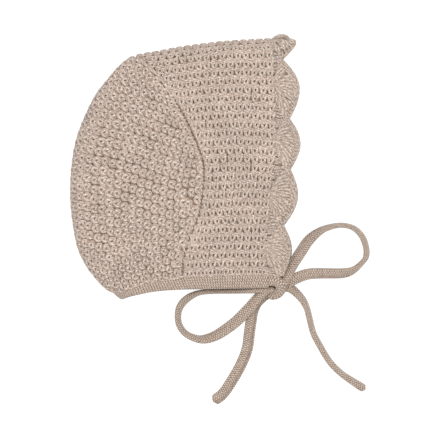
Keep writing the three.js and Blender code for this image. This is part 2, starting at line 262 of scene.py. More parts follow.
def layer_spread(points):
    """How far the two layers stand apart."""
    depth = np.clip(points[:, 0] / BONNET_DEPTH, 0, 1) * 3
    column = np.minimum(depth.astype(int), 2)
    height = np.clip(points[:, 1] / BONNET_HEIGHT, 0, 1)
    row = np.clip(np.searchsorted(PUFF_HEIGHTS, height) - 1, 0, 2)
    across = smooth_share(depth - column)
    up = smooth_share((height - PUFF_HEIGHTS[row]) / (PUFF_HEIGHTS[row + 1] - PUFF_HEIGHTS[row]))
    below = PUFF[row, column] * (1 - across) + PUFF[row, column + 1] * across
    above = PUFF[row + 1, column] * (1 - across) + PUFF[row + 1, column + 1] * across
    return FULLNESS * (below * (1 - up) + above * up)


def layer_point(points, side, inset):
    """Points of the fabric, inset from the outside of its wall, on the upper (1) or lower (-1) layer."""
    distance, inward = from_fold(points)
    roundness = np.minimum(distance / FOLD_REACH, 1)
    half = layer_spread(points) / 2
    rise = np.sqrt(np.maximum(1 - (1 - roundness) ** 2, 0))
    place = points + inward * (inset * (1 - roundness))[:, None]
    return np.column_stack([place, half + side * (half - inset) * rise])


def photo_point(x, y, z=0.0):
    """A place in the plan for a pixel of the photograph, at a height."""
    return ((x - PHOTO_BACK_X) * PIXEL, (PHOTO_NECK_Y - y) * PIXEL, z)


# The crease where the short rows at the side of the head meet
short_row_crease = np.array([
    photo_point(x, y)[:2] for x, y in ((186, 190), (189, 197), (194, 203), (200, 208))])

# The plan's place in the frame, from the solids
plan_shift = np.array([
    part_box("back_panel")[0][0] / MM - fold[:, 0].min(),
    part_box("front_band")[1][1] / MM - fold[-1, 1],
    0.0,
])


def to_frame(points):
    return (np.asarray(points, dtype=float) + plan_shift) * MM


def new_object(name, data):
    item = bpy.data.objects.new(name, data)
    bpy.context.scene.collection.objects.link(item)
    return item


# Camera and light
def add_camera():
    middle = to_frame([photo_point(PHOTO_SIZE / 2, PHOTO_SIZE / 2)])[0]
    height = 1.9
    camera = bpy.data.cameras.new("overhead_camera")
    camera.sensor_width = 36.0
    camera.lens = camera.sensor_width * height / (PHOTO_SIZE * PIXEL * MM)
    camera.clip_end = 20.0
    holder = new_object("overhead_camera", camera)
    holder.location = (middle[0], middle[1], height)
    bpy.context.scene.camera = holder


def add_light(name, place, target, size, power):
    lamp = bpy.data.lights.new(name, "AREA")
    lamp.size = size
    lamp.energy = power
    holder = new_object(name, lamp)
    holder.location = place
    direction = np.array(target) - np.array(place)
    yaw = math.atan2(direction[1], direction[0])
    pitch = math.atan2(math.hypot(direction[0], direction[1]), -direction[2])
    holder.rotation_euler = (pitch, 0, yaw - math.pi / 2)


add_camera()
add_light("key_softbox", (0.4, 0.3, 1.25), (0, 0, 0), 1.0, 12.6)
add_light("fill_softbox", (-0.8, -0.65, 1.2), (0, 0, 0), 1.4, 8.4)

world = bpy.data.worlds.new("studio")
world.use_nodes = True
background = world.node_tree.nodes["Background"]
background.inputs["Color"].default_value = (1.0, 0.99, 0.975, 1)
background.inputs["Strength"].default_value = 0.62
bpy.context.scene.world = world
bpy.context.scene.view_settings.view_transform = "Standard"


# Materials
def linear(hex_colour):
    values = [int(hex_colour[start:start + 2], 16) / 255 for start in (1, 3, 5)]
    return [v / 12.92 if v <= 0.04045 else ((v + 0.055) / 1.055) ** 2.4 for v in values] + [1.0]


def add_node(tree, kind, settings=None, inputs=None):
    """Adds a node with its settings; an input is a value, or the output socket that feeds it."""
    node = tree.nodes.new(kind)
    for name, value in (settings or {}).items():
        setattr(node, name, value)
    for name, value in (inputs or {}).items():
        socket = node.inputs[name]
        if isinstance(value, bpy.types.NodeSocket):
            tree.links.new(value, socket)
        else:
            socket.default_value = value
    return node


def new_material(name):
    material = bpy.data.materials.new(name)
    material.use_nodes = True
    tree = material.node_tree
    tree.nodes.clear()
    return material, tree


def finish_material(tree, colour, normal, roughness, sheen):
    shader = add_node(tree, "ShaderNodeBsdfPrincipled", None, {
        "Base Color": colour, "Roughness": roughness, "Specular IOR Level": 0.25,
        "Sheen Weight": sheen, "Sheen Roughness": 0.55, "Normal": normal})
    add_node(tree, "ShaderNodeOutputMaterial", None, {"Surface": shader.outputs[0]})


def ramp(tree, factor, stops):
    node = add_node(tree, "ShaderNodeValToRGB", None, {"Fac": factor})
    elements = node.color_ramp.elements
    while len(elements) < len(stops):
        elements.new(0.5)
    for element, (place, colour) in zip(elements, stops):
        element.position = place
        element.color = linear(colour)
    return node.outputs["Color"]


def yarn_material(name, light, middle, dark, ply_relief):
    """Cotton-blend melange yarn, loosely plied and worked by hook: soft matt strands with slanting
    plies, pale and brown flecks and a little fuzz that catches the light. The relief is 1 where the
    plies stand out, and -1 where the fuzz between them does."""
    material, tree = new_material(name)
    place = add_node(tree, "ShaderNodeTexCoord").outputs["Object"]
    fleck = add_node(tree, "ShaderNodeTexNoise", {"noise_dimensions": "3D"}, {
        "Vector": place, "Scale": 1 / (1.1 * MM), "Detail": 3.0, "Roughness": 0.7})
    colour = ramp(tree, fleck.outputs["Fac"], [(0.33, dark), (0.5, middle), (0.66, light)])
    drift = add_node(tree, "ShaderNodeTexNoise", None, {
        "Vector": place, "Scale": 1 / (14 * MM), "Detail": 1.0})
    tone = add_node(tree, "ShaderNodeMapRange", None, {
        "Value": drift.outputs["Fac"], "From Min": 0.3, "From Max": 0.7,
        "To Min": 0.93, "To Max": 1.05})
    toned = add_node(tree, "ShaderNodeVectorMath", {"operation": "SCALE"}, {
        0: colour, "Scale": tone.outputs[0]})
    # Five plies, loosely laid, show as streaks that slant a little along each strand. The strand's own
    # map holds millimetres along it and turns round it.
    uv = add_node(tree, "ShaderNodeUVMap", {"uv_map": "UVMap"}).outputs[0]
    split = add_node(tree, "ShaderNodeSeparateXYZ", None, {0: uv})
    plies = add_node(tree, "ShaderNodeMath", {"operation": "MULTIPLY"}, {
        0: split.outputs["Y"], 1: YARN_PLIES})
    twist = add_node(tree, "ShaderNodeMath", {"operation": "MULTIPLY_ADD"}, {
        0: split.outputs["X"], 1: 1 / PLY_LAY, 2: plies.outputs[0]})
    ply = add_node(tree, "ShaderNodeMath", {"operation": "PINGPONG"}, {0: twist.outputs[0], 1: 0.5})
    groove = add_node(tree, "ShaderNodeMath", {"operation": "POWER"}, {0: ply.outputs[0], 1: 0.6})
    fuzz = add_node(tree, "ShaderNodeTexNoise", None, {
        "Vector": place, "Scale": 1 / (0.35 * MM), "Detail": 2.0})
    raised = add_node(tree, "ShaderNodeMath", {"operation": "MULTIPLY"}, {
        0: groove.outputs[0], 1: ply_relief})
    relief = add_node(tree, "ShaderNodeMath", {"operation": "MULTIPLY_ADD"}, {
        0: fuzz.outputs["Fac"], 1: 0.5, 2: raised.outputs[0]})
    bump = add_node(tree, "ShaderNodeBump", None, {
        "Strength": 0.8, "Distance": 0.4 * MM, "Height": relief.outputs[0]})
    # Painted shade: the grooves between the plies are coloured darker and browner, as if less light came
    # out of them
    depth = ramp(tree, groove.outputs[0], [(0.1, "#d3bca9"), (0.6, "#ffffff")])
    plied = add_node(tree, "ShaderNodeVectorMath", {"operation": "MULTIPLY"}, {
        0: toned.outputs[0], 1: depth})
    finish_material(tree, plied.outputs[0], bump.outputs[0], 0.92, 0.25)
    return material


def tape_material(name, light, middle, dark):
    """Fine circular-knitted cotton tape: rows of tiny slanting stitches, smooth and matt, a little
    browner than the crochet. The stitches are drawn 1.5 mm wide, the size of fine stockinette."""
    material, tree = new_material(name)
    place = add_node(tree, "ShaderNodeTexCoord").outputs["Object"]
    uv = add_node(tree, "ShaderNodeUVMap", {"uv_map": "UVMap"}).outputs[0]
    split = add_node(tree, "ShaderNodeSeparateXYZ", None, {0: uv})
    course = add_node(tree, "ShaderNodeMath", {"operation": "MULTIPLY"}, {
        0: split.outputs["X"], 1: 1 / TAPE_STITCH})
    arms = []
    for slant in (1, -1):
        leg = add_node(tree, "ShaderNodeMath", {"operation": "MULTIPLY_ADD"}, {
            0: split.outputs["Y"], 1: slant / (2 * TAPE_STITCH), 2: course.outputs[0]})
        arms.append(add_node(tree, "ShaderNodeMath", {"operation": "PINGPONG"}, {
            0: leg.outputs[0], 1: 0.5}).outputs[0])
    raised = add_node(tree, "ShaderNodeMath", {"operation": "MULTIPLY"}, {0: arms[0], 1: arms[1]})
    height = add_node(tree, "ShaderNodeMath", {"operation": "MULTIPLY"}, {0: raised.outputs[0], 1: 4.0})
    bump = add_node(tree, "ShaderNodeBump", None, {
        "Strength": 0.6, "Distance": 0.3 * MM, "Height": height.outputs[0]})
    fleck = add_node(tree, "ShaderNodeTexNoise", None, {
        "Vector": place, "Scale": 1 / (0.9 * MM), "Detail": 3.0, "Roughness": 0.7})
    # The colour follows the stitches' relief: painted shade where it is low, between the stitches, over
    # the tape's own flecks
    relief_shade_and_fleck = add_node(tree, "ShaderNodeMath", {"operation": "MULTIPLY_ADD"}, {
        0: height.outputs[0], 1: 0.8, 2: fleck.outputs["Fac"]})
    colour = ramp(tree, relief_shade_and_fleck.outputs[0], [(0.42, dark), (0.7, middle), (1.0, light)])
    finish_material(tree, colour, bump.outputs[0], 0.88, 0.2)
    return material


crochet_yarn = yarn_material("crocheted_melange_yarn", "#e4ddd7", "#cabdb3", "#a08a7d", -1.0)
edging_yarn = yarn_material("shell_stitch_yarn", "#d6d0ca", "#bcb0a6", "#947f72", -1.0)
# The crochet yarn coloured darker in painted shade, for the cloth's core between the stitches and the yarn
# low in the seam
painted_shade_core_yarn = yarn_material("inner_side_of_crochet", "#b19c8a", "#957e6c", "#725a49", 1.0)
# The yarn of the cloth between the trebles, coloured darker in painted shade
painted_shade_shell_yarn = yarn_material("inner_side_of_shells", "#c6b6a9", "#ae9b8d", "#8d7868", 1.0)
knitted_tape = tape_material("circular_knitted_tape", "#cabcaf", "#a29082", "#68564a")


# Mesh helpers
def add_map(mesh, faces, uvs, girth):
    """Lays a map over a mesh. Round a tube it starts again after one girth, so a face that spans the
    start takes the girth's end instead."""
    rows = []
    for face in faces:
        uv = uvs[list(face)]
        if np.ptp(uv[:, 1]) > girth / 2:
            uv[:, 1] += np.where(uv[:, 1] < girth / 2, girth, 0)
        rows.append(uv)
    mesh.uv_layers.new(name="UVMap").data.foreach_set("uv", np.vstack(rows).ravel())


def new_mesh_object(name, points, faces, material, uvs, girth=math.inf):
    mesh = bpy.data.meshes.new(name)
    mesh.from_pydata([tuple(p) for p in to_frame(points)], [], faces)
    add_map(mesh, faces, uvs, girth)
    mesh.materials.append(material)
    mesh.polygons.foreach_set("use_smooth", [True] * len(mesh.polygons))
    mesh.update()
    return new_object(name, mesh)


def stands_for(item, node):
    """Seats a piece on the bonnet, in the place of the plain form that it dresses."""
    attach(item, "root")
    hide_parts(node)


def ring_faces(rings, sides, first=0, caps=True):
    """Quads of a tube whose points lie ring after ring, and its two end caps."""
    faces = []
    for ring in range(rings - 1):
        for side in range(sides):
            a = first + ring * sides + side
            b = first + ring * sides + (side + 1) % sides
            faces.append((a, a + sides, b + sides, b))
    if caps:
        faces.append(tuple(first + side for side in range(sides)))
        faces.append(tuple(first + (rings - 1) * sides + side for side in range(sides))[::-1])
    return faces


def sheet_faces(rows, columns):
    """Faces of a closed sheet, whose points are the grid of one side and then that of the other."""
    half = rows * columns
    index = np.arange(half).reshape(rows, columns)
    faces = []
    for i in range(rows - 1):
        for j in range(columns - 1):
            quad = (index[i, j], index[i + 1, j], index[i + 1, j + 1], index[i, j + 1])
            faces.append(quad)
            faces.append(tuple(k + half for k in quad[::-1]))
    rim = list(index[:, 0]) + list(index[-1, 1:]) + list(index[-2::-1, -1]) + list(index[0, -2:0:-1])
    for a, b in zip(rim, rim[1:] + rim[:1]):
        faces.append((a, a + half, b + half, b))
    return faces


def strand(path, ups, width, thick, sides):
    """A tube along a path: its points, and its map in millimetres along and turns round."""
    runs = unit(np.gradient(path, axis=0))
    ups = unit(ups - (ups * runs).sum(-1)[:, None] * runs)
    rights = np.cross(runs, ups)
    angles = np.arange(sides) / sides * 2 * np.pi
    width = np.broadcast_to(width, len(path))[:, None, None] / 2
    thick = np.broadcast_to(thick, len(path))[:, None, None] / 2
    rings = (path[:, None, :] + rights[:, None, :] * np.cos(angles)[None, :, None] * width
             + ups[:, None, :] * np.sin(angles)[None, :, None] * thick)
    lengths = run_lengths(path)
    uvs = np.stack(np.broadcast_arrays(lengths[:, None], (np.arange(sides) / sides)[None, :]), axis=-1)
    return rings.reshape(-1, 3), uvs.reshape(-1, 2)


def join_strands(name, strands, sides, material, turn=1.0):
    """One mesh of many tubes: each strand is (path, ups, width, thick). Their map has one turn's size."""
    points, uvs, faces, first = [], [], [], 0
    for number, (path, ups, width, thick) in enumerate(strands):
        tube, tube_uv = strand(path, ups, width, thick, sides)
        points.append(tube)
        uvs.append(tube_uv * (1, turn) + (number * 2.9, 0))
        faces += ring_faces(len(path), sides, first)
        first += len(tube)
    return new_mesh_object(name, np.vstack(points), faces, material, np.vstack(uvs), girth=turn)


# Crocheted fabric: rows counted from the fold, positive on the upper layer
def even_shares(place, fine=200):
    """The share across a patch for each share of the cloth's own length from the fold."""
    shares = np.linspace(0, 1, fine + 1) ** 2  # closer near the fold, where the cloth turns over
    points = layer_point(place(shares), np.ones(fine + 1), np.zeros(fine + 1))
    lengths = run_lengths(points)
    return lambda cloth: np.interp(np.clip(cloth, 0, 1) * lengths[-1], lengths, shares), lengths[-1]


def beside_valleys(points, by_row, by_stitch):
    """Moves stitches in the plan until they lie clear of the seam and of the crease of the short rows."""
    moved = points.copy()
    for line, clear in ((seam, VALLEY_GAP), (short_row_crease, VALLEY_GAP / 3)):
        runs = np.diff(line, axis=0)
        offset = moved[:, None, :] - line[None, :-1, :]
        share = np.clip((offset * runs).sum(-1) / (runs ** 2).sum(-1), 0, 1)
        away = offset - share[..., None] * runs
        gap = np.linalg.norm(away, axis=-1)
        nearest = gap.argmin(axis=1)
        row = np.arange(len(points))
        gap, away = gap[row, nearest], unit(away[row, nearest])
        half = np.hypot((away * by_row[:, :2]).sum(-1), (away * by_stitch[:, :2]).sum(-1)) / 2
        moved += away * np.clip(half + clear - gap, 0, 2.2)[:, None]
    return moved


class Fabric:
    """A crocheted panel over both layers and the fold between them."""

    def __init__(self, name, place, middle, pitch, stitch, head, margins, stagger):
        self.name, self.place, self.stitch, self.head = name, place, stitch, head
        self.margins = margins  # millimetres left bare at both ends of a row
        self.stagger = stagger  # how far, in stitches, each second row is set off along itself
        self.even, length = even_shares(lambda share: place(share, np.full_like(share, middle)))
        self.rows = round(length / pitch - 0.5)  # besides the row that lies along the fold

    def plan(self, row, run):
        """The place in the plan, and the layer, for a row and a share along it."""
        share = self.even(np.abs(row) / (self.rows + 0.5))
        return self.place(share, run), np.where(row < 0, -1.0, 1.0)

    def at(self, row, run, inset):
        points, side = self.plan(row, run)
        return layer_point(points, side, inset)

    def row_length(self, row):
        run = np.linspace(0, 1, 40)
        points = self.at(np.full(40, float(row)), run, np.zeros(40))
        return np.linalg.norm(np.diff(points, axis=0), axis=1).sum()

    def ground(self, material_outside, material_inside):
        """The closed body of the cloth under its stitches."""
        last = self.rows + 0.5
        rows = np.linspace(-last, last, self.rows * 4 + 3)
        runs = np.linspace(0, 1, 25)
        row_grid, run_grid = [g.ravel() for g in np.meshgrid(rows, runs, indexing="ij")]
        rib = 0.5 * np.abs(np.cos(row_grid * np.pi))
        outer = self.at(row_grid, run_grid, np.full(len(row_grid), GROUND_INSET))
        inner = self.at(row_grid, run_grid, WALL - rib)
        count, width = len(rows), len(runs)
        faces = sheet_faces(count, width)
        points = np.vstack([outer, inner])
        uvs = np.column_stack([row_grid * 4.0, run_grid * 4.0])
        # The body's outside, seen between the stitches, is coloured in painted shade; its inside takes the
        # plain yarn
        item = new_mesh_object(self.name + "_ground", points, faces, material_outside,
                               np.vstack([uvs, uvs]))
        item.data.materials.append(material_inside)
        inside = [0 if face[0] < count * width else 1 for face in faces]
        item.data.polygons.foreach_set("material_index", inside)
        face_outwards(item)
        return item

    def stitch_points(self):
        """Place, way up, head direction and pitch of every stitch."""
        rows, runs, steps = [], [], []
        for row in np.arange(-self.rows, self.rows + 1):
            length = self.row_length(row)
            count = max(round(length / self.stitch), 1)
            low, high = (margin / length for margin in self.margins)
            order = np.arange(count) + 0.5 + (self.stagger if row % 2 else -self.stagger)
            rows.append(np.full(count, row))
            runs.append(low + (1 - low - high) * np.clip(order, 0.4, count - 0.4) / count)
            steps.append(np.full(count, (1 - low - high) / count))
        row, run, step = np.concatenate(rows), np.concatenate(runs), np.concatenate(steps)
        nudge = 0.02
        inset = np.full(len(row), GROUND_INSET)
        plan, side = self.plan(row, run)
        by_row = (self.at(row + nudge, run, inset) - self.at(row - nudge, run, inset)) / (2 * nudge)
        by_run = (self.at(row, run + nudge, inset) - self.at(row, run - nudge, inset)) / (2 * nudge)
        # A stitch stands square to its row, also where the rows run aslant of the patch
        along_row = unit(by_run)
        by_row -= along_row * (by_row * along_row).sum(-1)[:, None]
        normal = np.cross(by_row, by_run)
        outwards = self.at(row, run, inset) - self.at(row, run, inset + 0.8)
        normal *= np.sign((normal * outwards).sum(-1))[:, None]
        plan = beside_valleys(plan, by_row, by_run * step[:, None])
        middle = layer_point(plan, side, inset)
        pitch = np.column_stack([np.linalg.norm(by_run, axis=1) * step,
                                 np.linalg.norm(by_row, axis=1), np.ones(len(row))])
        return middle, unit(normal), unit(by_row) * self.head, pitch


def face_outwards(item):
    """Turns a closed mesh's faces outwards."""
    mesh = item.data
    total = 0.0
    for polygon in mesh.polygons:
        a, b, c = [mesh.vertices[i].co for i in polygon.vertices[:3]]
        total += a.dot(b.cross(c))
        if len(polygon.vertices) == 4:
            d = mesh.vertices[polygon.vertices[3]].co
            total += a.dot(c.cross(d))
    if total < 0:
        mesh.flip_normals()


back_fabric = Fabric("back_panel", panel_patch, 0.55, PANEL_ROW, PANEL_STITCH, 1.0, (0.2, 0.5),
                     PANEL_STAGGER)
band_fabric = Fabric("front_band", lambda share, run: band_patch(1 - share, run), 0.5,
                     BAND_ROW, BAND_STITCH, -1.0, (0.5, 0.0), 0.0)


# One crochet stitch, from the tucked end of one arm to the bend: across and along in pitches, height
# in millimetres. The other arm mirrors it. Two bars of yarn close the gap behind the head.
BAND_ARM = [
    (0.27, 0.62, -0.9), (0.285, 0.42, -0.05), (0.28, 0.16, 0.6), (0.262, -0.08, 0.92),
    (0.195, -0.29, 0.98), (0.0, -0.41, 0.95),
]
BAND_BARS = [
    [(-0.52, 0.25, 0.2), (0.0, 0.22, 0.4), (0.52, 0.25, 0.2)],
    [(-0.52, 0.50, 0.3), (0.0, 0.46, 0.15), (0.52, 0.50, 0.3)],
]
PANEL_ARM = [
    (0.24, 0.60, -1.2), (0.26, 0.40, -0.55), (0.29, 0.24, 0.15), (0.305, 0.06, 0.65), (0.295, -0.12, 0.9),
    (0.19, -0.35, 1.15), (0.0, -0.475, 1.15),
]
PANEL_BARS = [
    [(-0.52, 0.46, -0.9), (0.0, 0.42, -0.55), (0.52, 0.46, -0.9)],
    [(-0.22, 0.37, -0.35), (-0.04, 0.20, 0.1), (0.18, 0.05, 0.15)],
]


def stitch_source(name, arm, bars, width):
    """The stitch as a mesh that spans one pitch across and along."""
    arm = np.array(arm)
    loop = np.vstack([arm * (-1, 1, 1), arm[-2::-1]])
    # The tubes are made at a pitch of 5 mm, then brought back to a pitch of one
    typical = np.array([5.0, 5.0, 1.0])
    up = np.array([0.0, 0.0, 1.0])
    sides = 6
    points, uvs, faces, first = [], [], [], 0
    for line in [loop] + [np.array(bar) for bar in bars]:
        path = line * typical
        tube, uv = strand(path, np.tile(up, (len(path), 1)), width, YARN_THICK, sides)
        points.append(tube / typical)
        uvs.append(uv)
        faces += ring_faces(len(path), sides, first, caps=False)
        first += len(tube)
    points, uvs = np.vstack(points), np.vstack(uvs)
    mesh = bpy.data.meshes.new(name)
    mesh.from_pydata([tuple(p) for p in points], [], faces)
    add_map(mesh, faces, uvs, 1)
    mesh.polygons.foreach_set("use_smooth", [True] * len(mesh.polygons))
    return new_object(name, mesh)


def stitch_tree():
    """Works a stitch on every point, turned and scaled to its place in the cloth."""
    tree = bpy.data.node_groups.new("work_stitches", "GeometryNodeTree")
    add_socket = tree.interface.new_socket
    add_socket("Points", in_out="INPUT", socket_type="NodeSocketGeometry")
    add_socket("Stitch", in_out="INPUT", socket_type="NodeSocketObject")
    add_socket("Yarn", in_out="INPUT", socket_type="NodeSocketMaterial")
    add_socket("Lean", in_out="INPUT", socket_type="NodeSocketFloat")
    add_socket("Unevenness", in_out="INPUT", socket_type="NodeSocketFloat")
    add_socket("Stitches", in_out="OUTPUT", socket_type="NodeSocketGeometry")
    given = add_node(tree, "NodeGroupInput").outputs
    normal = add_node(tree, "GeometryNodeInputNamedAttribute", {"data_type": "FLOAT_VECTOR"}, {
        "Name": "way_up"}).outputs[0]
    head = add_node(tree, "GeometryNodeInputNamedAttribute", {"data_type": "FLOAT_VECTOR"}, {
        "Name": "head"}).outputs[0]
    pitch = add_node(tree, "GeometryNodeInputNamedAttribute", {"data_type": "FLOAT_VECTOR"}, {
        "Name": "pitch"}).outputs[0]
    seat = add_node(tree, "FunctionNodeAxesToRotation", {"primary_axis": "Z", "secondary_axis": "Y"}, {
        0: normal, 1: head})
    lean_low = add_node(tree, "ShaderNodeMath", {"operation": "MULTIPLY"}, {0: given["Lean"], 1: -1.0})
    lean = add_node(tree, "FunctionNodeRandomValue", {"data_type": "FLOAT"}, {
        2: lean_low.outputs[0], 3: given["Lean"], "Seed": 11})
    turn = add_node(tree, "ShaderNodeCombineXYZ", None, {"Z": lean.outputs[1]})
    turned = add_node(tree, "FunctionNodeRotateRotation", {"rotation_space": "LOCAL"}, {
        0: seat.outputs[0], 1: add_node(tree, "FunctionNodeEulerToRotation", None, {
            0: turn.outputs[0]}).outputs[0]})
    uneven_low = add_node(tree, "ShaderNodeMath", {"operation": "SUBTRACT"}, {
        0: 1.0, 1: given["Unevenness"]})
    uneven_high = add_node(tree, "ShaderNodeMath", {"operation": "ADD"}, {
        0: 1.0, 1: given["Unevenness"]})
    size = add_node(tree, "FunctionNodeRandomValue", {"data_type": "FLOAT"}, {
        2: uneven_low.outputs[0], 3: uneven_high.outputs[0], "Seed": 5})
    flat_size = add_node(tree, "ShaderNodeCombineXYZ", None, {
        "X": size.outputs[1], "Y": size.outputs[1], "Z": 1.0})
    scale = add_node(tree, "ShaderNodeVectorMath", {"operation": "MULTIPLY"}, {
        0: pitch, 1: flat_size.outputs[0]})
    shape = add_node(tree, "GeometryNodeObjectInfo", None, {"Object": given["Stitch"]})
    placed = add_node(tree, "GeometryNodeInstanceOnPoints", None, {
        "Points": given["Points"], "Instance": shape.outputs["Geometry"],
        "Rotation": turned.outputs[0], "Scale": scale.outputs[0]})
    real = add_node(tree, "GeometryNodeRealizeInstances", None, {0: placed.outputs[0]})
    dyed = add_node(tree, "GeometryNodeSetMaterial", None, {
        "Geometry": real.outputs[0], "Material": given["Yarn"]})
    add_node(tree, "NodeGroupOutput", None, {0: dyed.outputs[0]})
    return tree


def work_stitches(name, fabric, source, tree, material):
    """All the stitches of one fabric as a piece."""
    middle, normal, head, pitch = fabric.stitch_points()
    mesh = bpy.data.meshes.new(name + "_points")
    mesh.from_pydata([tuple(p) for p in to_frame(middle)], [], [])
    for label, values in (("way_up", normal), ("head", head), ("pitch", pitch * MM)):
        mesh.attributes.new(label, "FLOAT_VECTOR", "POINT").data.foreach_set("vector", values.ravel())
    item = new_object(name, mesh)
    modifier = item.modifiers.new("stitches", "NODES")
    modifier.node_group = tree
    given = {"Stitch": source, "Yarn": material, "Lean": LEAN, "Unevenness": UNEVENNESS}
    for socket in tree.interface.items_tree:
        if socket.in_out == "INPUT" and socket.name in given:
            modifier[socket.identifier] = given[socket.name]
    graph = bpy.context.evaluated_depsgraph_get()
    result = bpy.data.meshes.new_from_object(item.evaluated_get(graph), depsgraph=graph)
    item.modifiers.clear()
    item.data = result
    result.name = name
    return item


# Ties: their routes, with the tape's twist at each point (0 lies flat, 1 stands on its edge)
TIES = {
    "tie_loop_right": [
        (130.8, 10.4, 7.2, 0.3), (133.3, 14.8, 7.6, 0.3), (137.7, 22.5, 6.4, 0.3),
        (142.4, 29.8, 3.8, 0.1), (147.6, 37.3, 2.3, 0.3), (154.8, 43.1, 1.6, 0.7),
        (162.4, 45.8, 1.6, 0.9), (169.0, 46.3, 1.6, 1.0), (175.3, 44.5, 1.6, 0.9),
        (180.2, 39.7, 1.6, 0.8), (182.8, 32.9, 1.6, 0.8), (182.9, 27.3, 1.6, 0.8),
        (180.9, 23.9, 1.6, 0.9), (175.3, 18.8, 1.6, 0.7), (168.6, 16.7, 1.6, 0.4),
        (156.2, 16.6, 2.3, 0.3), (147.5, 16.2, 2.7, 0.2), (141.0, 14.2, 3.9, 0.1),
        (135.4, 11.6, 4.8, 0.1), (131.6, 10.4, 4.4, 0.1),
    ],
    "tie_loop_left": [
        (121.9, 6.0, 6.6, 1.0), (115.0, 5.9, 6.4, 1.0), (107.6, 5.7, 5.2, 1.0), (98.6, 5.5, 3.6, 1.0),
        (89.3, 5.4, 3.5, 1.0), (79.7, 4.6, 3.5, 0.9), (72.5, 1.3, 1.6, 0.7), (67.9, -3.6, 1.6, 0.7),
        (66.4, -9.3, 1.6, 0.8), (67.3, -15.5, 1.6, 0.8), (71.4, -20.9, 1.6, 0.8),
        (78.6, -24.0, 1.6, 0.7), (84.4, -23.8, 1.6, 0.5), (91.6, -20.9, 2.3, 0.3),
        (101.0, -14.3, 3.6, 0.0), (107.2, -8.3, 6.0, 0.0), (111.6, -3.5, 7.0, 0.2),
        (116.3, 2.3, 7.2, 0.45), (120.4, 5.9, 6.6, 0.55), (124.6, 8.2, 5.0, 0.5),
    ],
    "tie_tail_right": [
        (131.8, 8.4, 3.0, 0.4), (135.6, 7.6, 3.0, 0.5), (139.6, 4.6, 2.8, 0.6), (143.8, -0.2, 2.3, 0.7),
        (146.4, -5.6, 1.6, 0.8),
        (147.7, -10.8, 1.6, 0.8), (150.2, -20.3, 1.6, 0.8), (154.4, -28.5, 1.6, 0.8),
        (160.3, -38.1, 1.6, 0.8), (167.4, -45.3, 1.6, 0.8), (175.8, -51.1, 1.6, 0.7),
        (182.3, -55.2, 1.6, 0.6),
    ],
    "tie_tail_left": [
        (120.4, 3.2, 2.2, 0.3), (115.4, -1.4, 1.6, 0.2), (112.8, -6.9, 1.6, 0.1),
        (111.6, -13.4, 1.6, 0.0), (110.6, -20.3, 1.6, 0.0), (109.3, -29.8, 1.6, 0.0),
        (105.8, -39.1, 1.6, 0.0), (99.8, -49.9, 1.6, 0.0), (93.9, -58.3, 1.6, 0.0),
        (88.0, -62.6, 1.6, 0.0),
    ],
}


def tape_mesh(name, rows, rounded_end, furrow):
    """The flat knitted tape along a route, turned by its twist; returns the piece and its middle line."""
    dense = spline(rows)
    lengths = run_lengths(dense[:, :3])
    even = np.linspace(0, lengths[-1], max(round(lengths[-1] / 1.2), 8))
    dense = np.stack([np.interp(even, lengths, dense[:, axis]) for axis in range(4)], axis=1)
    path, twist = dense[:, :3].copy(), dense[:, 3] * np.pi / 2
    runs = unit(np.gradient(path, axis=0))
    flat = unit(np.cross(np.tile((0.0, 0.0, 1.0), (len(path), 1)), runs))
    ups = np.cross(runs, flat)
    normal = ups * np.cos(twist)[:, None] + flat * np.sin(twist)[:, None]
    across = np.cross(runs, normal)
    # The tape rests on the surface at whatever height its turned section needs
    need = np.abs(across[:, 2]) * TAPE_WIDTH / 2 + np.abs(normal[:, 2]) * TAPE_THICK / 2
    path[:, 2] = np.maximum(path[:, 2], need)
    sides = 24
    angles = np.arange(sides) / sides * 2 * np.pi
    section_x = np.sign(np.cos(angles)) * np.abs(np.cos(angles)) ** 0.7 * TAPE_WIDTH / 2
    section_y = np.sign(np.sin(angles)) * np.abs(np.sin(angles)) ** 0.8 * TAPE_THICK / 2
    section_y[8] *= 1 - furrow  # a furrow beside the tape's edge
    taper = np.ones(len(path))
    if rounded_end:
        last = even[-1] - even
        taper = np.sqrt(np.clip(1 - (1 - np.clip(last / 2.4, 0, 1)) ** 2, 0.02, 1))
    rings = (path[:, None, :] + across[:, None, :] * (section_x[None, :] * taper[:, None])[..., None]
             + normal[:, None, :] * (section_y[None, :] * np.maximum(taper, 0.4)[:, None])[..., None])
    steps = np.hypot(section_x - np.roll(section_x, 1), section_y - np.roll(section_y, 1))
    round_it = np.cumsum(steps) - steps[0]
    uvs = np.stack(np.broadcast_arrays(even[:, None], round_it[None, :]), axis=-1)
    faces = ring_faces(len(path), sides)
    item = new_mesh_object(name, rings.reshape(-1, 3), faces, knitted_tape, uvs.reshape(-1, 2),
                           girth=steps.sum())
    face_outwards(item)
    return item, path, even[-1]


def make_ties():
    for name, rows in TIES.items():
        is_loop = "loop" in name
        furrow = ROLLED_TAPE_FURROW if name == "tie_tail_left" else TAPE_FURROW
        item, path, length = tape_mesh(name + "_tape", rows, not is_loop, furrow)
        stands_for(item, name)


make_ties()


# Scalloped edging
def scallop_width(share):
    """Reach of the edging at a share of the face edge."""
    width = np.zeros_like(share)
    start, low_notch = 0.0, CHIN_NOTCH
    for end, reach, notch in SCALLOPS:
        inside = (share >= start) & (share <= end)
        part = np.clip((share - start) / (end - start), 0, 1)
        base = low_notch + (notch - low_notch) * part
        swell = np.sin(np.pi * part)
        width[inside] = (base + (reach - base) * swell)[inside]
        start, low_notch = end, notch
    return width * (1 - CROWN_DIP * np.exp(-((1 - share) / CROWN_DIP_WIDTH) ** 2))


